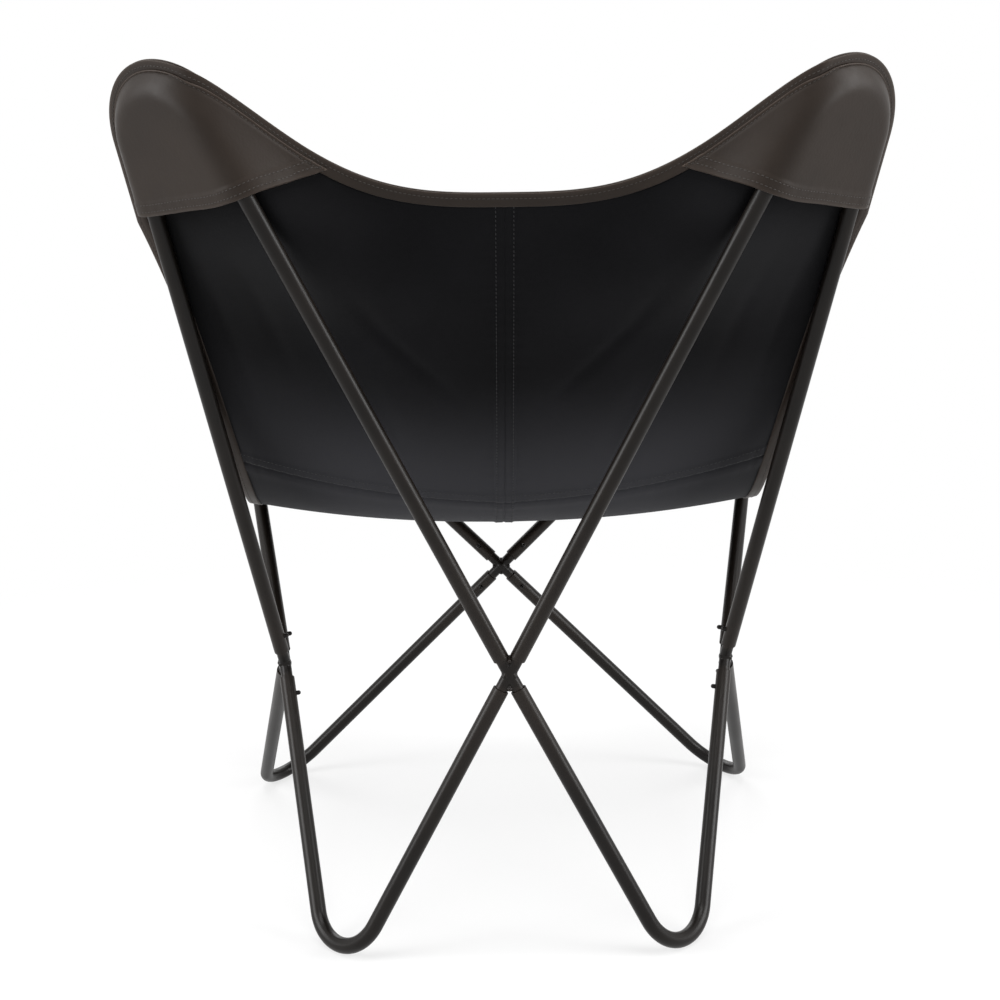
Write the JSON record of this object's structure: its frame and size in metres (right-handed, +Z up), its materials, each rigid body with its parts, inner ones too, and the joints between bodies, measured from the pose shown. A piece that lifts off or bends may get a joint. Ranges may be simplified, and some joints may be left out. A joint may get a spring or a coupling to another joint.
{
  "type": "butterfly sling chair",
  "caption": "Lounge chair with a lined leather sling hung by corner pockets on a knock-down frame of bent steel tubes locked by spring buttons.",
  "frame": {"origin": "on the floor under the middle of the whole chair", "axes": "+Z up, +Y towards the back of the chair, +X to the left of a person sitting in it"},
  "size_m": [0.7156, 0.6784, 0.8617],
  "materials": {
    "frame_paint": "satin brown-black paint",
    "button_steel": "dark plated steel",
    "spring_steel": "bright spring steel",
    "sling_leather": "brown-black leather with a soft sheen",
    "sling_canvas": "black canvas lining"
  },
  "bodies": {
    "chair": {"back_left_loop_tube": "frame_paint", "back_right_loop_tube": "frame_paint", "front_left_loop_tube": "frame_paint", "front_right_loop_tube": "frame_paint", "back_left_foot_tube": "frame_paint", "back_right_foot_tube": "frame_paint", "front_left_foot_tube": "frame_paint", "front_right_foot_tube": "frame_paint", "back_cross": "frame_paint", "front_cross": "frame_paint", "left_cross": "frame_paint", "right_cross": "frame_paint", "back_left_loop_back_spring": "spring_steel", "back_left_loop_left_spring": "spring_steel", "back_right_loop_back_spring": "spring_steel", "back_right_loop_right_spring": "spring_steel", "front_left_loop_front_spring": "spring_steel", "front_left_loop_left_spring": "spring_steel", "front_right_loop_front_spring": "spring_steel", "front_right_loop_right_spring": "spring_steel", "back_left_foot_back_spring": "spring_steel", "back_left_foot_left_spring": "spring_steel", "back_right_foot_back_spring": "spring_steel", "back_right_foot_right_spring": "spring_steel", "front_left_foot_front_spring": "spring_steel", "front_left_foot_left_spring": "spring_steel", "front_right_foot_front_spring": "spring_steel", "front_right_foot_right_spring": "spring_steel", "sling_face_back": "sling_leather", "sling_face_seat": "sling_leather", "sling_lining_back_left": "sling_canvas", "sling_lining_back_right": "sling_canvas", "sling_lining_seat": "sling_canvas", "sling_edging_top": "sling_leather", "sling_edging_front": "sling_leather", "sling_edging_left": "sling_leather", "sling_edging_right": "sling_leather", "back_left_pocket": "sling_leather", "back_right_pocket": "sling_leather", "front_left_pocket": "sling_leather", "front_right_pocket": "sling_leather"},
    "back_left_loop_back_button": {"back_left_loop_back_button": "button_steel"},
    "back_left_loop_left_button": {"back_left_loop_left_button": "button_steel"},
    "back_right_loop_back_button": {"back_right_loop_back_button": "button_steel"},
    "back_right_loop_right_button": {"back_right_loop_right_button": "button_steel"},
    "front_left_loop_front_button": {"front_left_loop_front_button": "button_steel"},
    "front_left_loop_left_button": {"front_left_loop_left_button": "button_steel"},
    "front_right_loop_front_button": {"front_right_loop_front_button": "button_steel"},
    "front_right_loop_right_button": {"front_right_loop_right_button": "button_steel"},
    "back_left_foot_back_button": {"back_left_foot_back_button": "button_steel"},
    "back_left_foot_left_button": {"back_left_foot_left_button": "button_steel"},
    "back_right_foot_back_button": {"back_right_foot_back_button": "button_steel"},
    "back_right_foot_right_button": {"back_right_foot_right_button": "button_steel"},
    "front_left_foot_front_button": {"front_left_foot_front_button": "button_steel"},
    "front_left_foot_left_button": {"front_left_foot_left_button": "button_steel"},
    "front_right_foot_front_button": {"front_right_foot_front_button": "button_steel"},
    "front_right_foot_right_button": {"front_right_foot_right_button": "button_steel"}
  },
  "joints": [
    {"name": "back_left_loop_back_press", "type": "slide", "parent": "chair", "child": "back_left_loop_back_button", "axis": [-0.0501, 0.9937, -0.0999], "range_m": [0, 0.0062], "stiffness_N_per_m": 3000, "deforming": ["back_left_loop_back_spring"]},
    {"name": "back_left_loop_left_press", "type": "slide", "parent": "chair", "child": "back_left_loop_left_button", "axis": [0.9889, -0.0548, -0.1382], "range_m": [0, 0.0062], "stiffness_N_per_m": 3000, "deforming": ["back_left_loop_left_spring"]},
    {"name": "back_right_loop_back_press", "type": "slide", "parent": "chair", "child": "back_right_loop_back_button", "axis": [0.0501, 0.9937, -0.0999], "range_m": [0, 0.0062], "stiffness_N_per_m": 3000, "deforming": ["back_right_loop_back_spring"]},
    {"name": "back_right_loop_right_press", "type": "slide", "parent": "chair", "child": "back_right_loop_right_button", "axis": [-0.9889, -0.0548, -0.1382], "range_m": [0, 0.0062], "stiffness_N_per_m": 3000, "deforming": ["back_right_loop_right_spring"]},
    {"name": "front_left_loop_front_press", "type": "slide", "parent": "chair", "child": "front_left_loop_front_button", "axis": [-0.1914, -0.9661, -0.1732], "range_m": [0, 0.0062], "stiffness_N_per_m": 3000, "deforming": ["front_left_loop_front_spring"]},
    {"name": "front_left_loop_left_press", "type": "slide", "parent": "chair", "child": "front_left_loop_left_button", "axis": [0.9812, 0.1405, -0.1322], "range_m": [0, 0.0062], "stiffness_N_per_m": 3000, "deforming": ["front_left_loop_left_spring"]},
    {"name": "front_right_loop_front_press", "type": "slide", "parent": "chair", "child": "front_right_loop_front_button", "axis": [0.1914, -0.9661, -0.1732], "range_m": [0, 0.0062], "stiffness_N_per_m": 3000, "deforming": ["front_right_loop_front_spring"]},
    {"name": "front_right_loop_right_press", "type": "slide", "parent": "chair", "child": "front_right_loop_right_button", "axis": [-0.9812, 0.1405, -0.1322], "range_m": [0, 0.0062], "stiffness_N_per_m": 3000, "deforming": ["front_right_loop_right_spring"]},
    {"name": "back_left_foot_back_press", "type": "slide", "parent": "chair", "child": "back_left_foot_back_button", "axis": [-0.0091, 0.9998, 0.017], "range_m": [0, 0.0062], "stiffness_N_per_m": 3000, "deforming": ["back_left_foot_back_spring"]},
    {"name": "back_left_foot_left_press", "type": "slide", "parent": "chair", "child": "back_left_foot_left_button", "axis": [0.9857, 0.1042, -0.1324], "range_m": [0, 0.0062], "stiffness_N_per_m": 3000, "deforming": ["back_left_foot_left_spring"]},
    {"name": "back_right_foot_back_press", "type": "slide", "parent": "chair", "child": "back_right_foot_back_button", "axis": [0.0091, 0.9998, 0.017], "range_m": [0, 0.0062], "stiffness_N_per_m": 3000, "deforming": ["back_right_foot_back_spring"]},
    {"name": "back_right_foot_right_press", "type": "slide", "parent": "chair", "child": "back_right_foot_right_button", "axis": [-0.9857, 0.1042, -0.1324], "range_m": [0, 0.0062], "stiffness_N_per_m": 3000, "deforming": ["back_right_foot_right_spring"]},
    {"name": "front_left_foot_front_press", "type": "slide", "parent": "chair", "child": "front_left_foot_front_button", "axis": [-0.0985, -0.9899, 0.1018], "range_m": [0, 0.0062], "stiffness_N_per_m": 3000, "deforming": ["front_left_foot_front_spring"]},
    {"name": "front_left_foot_left_press", "type": "slide", "parent": "chair", "child": "front_left_foot_left_button", "axis": [0.9832, 0.1372, 0.1207], "range_m": [0, 0.0062], "stiffness_N_per_m": 3000, "deforming": ["front_left_foot_left_spring"]},
    {"name": "front_right_foot_front_press", "type": "slide", "parent": "chair", "child": "front_right_foot_front_button", "axis": [0.0985, -0.9899, 0.1018], "range_m": [0, 0.0062], "stiffness_N_per_m": 3000, "deforming": ["front_right_foot_front_spring"]},
    {"name": "front_right_foot_right_press", "type": "slide", "parent": "chair", "child": "front_right_foot_right_button", "axis": [-0.9832, 0.1372, 0.1207], "range_m": [0, 0.0062], "stiffness_N_per_m": 3000, "deforming": ["front_right_foot_right_spring"]}
  ]
}
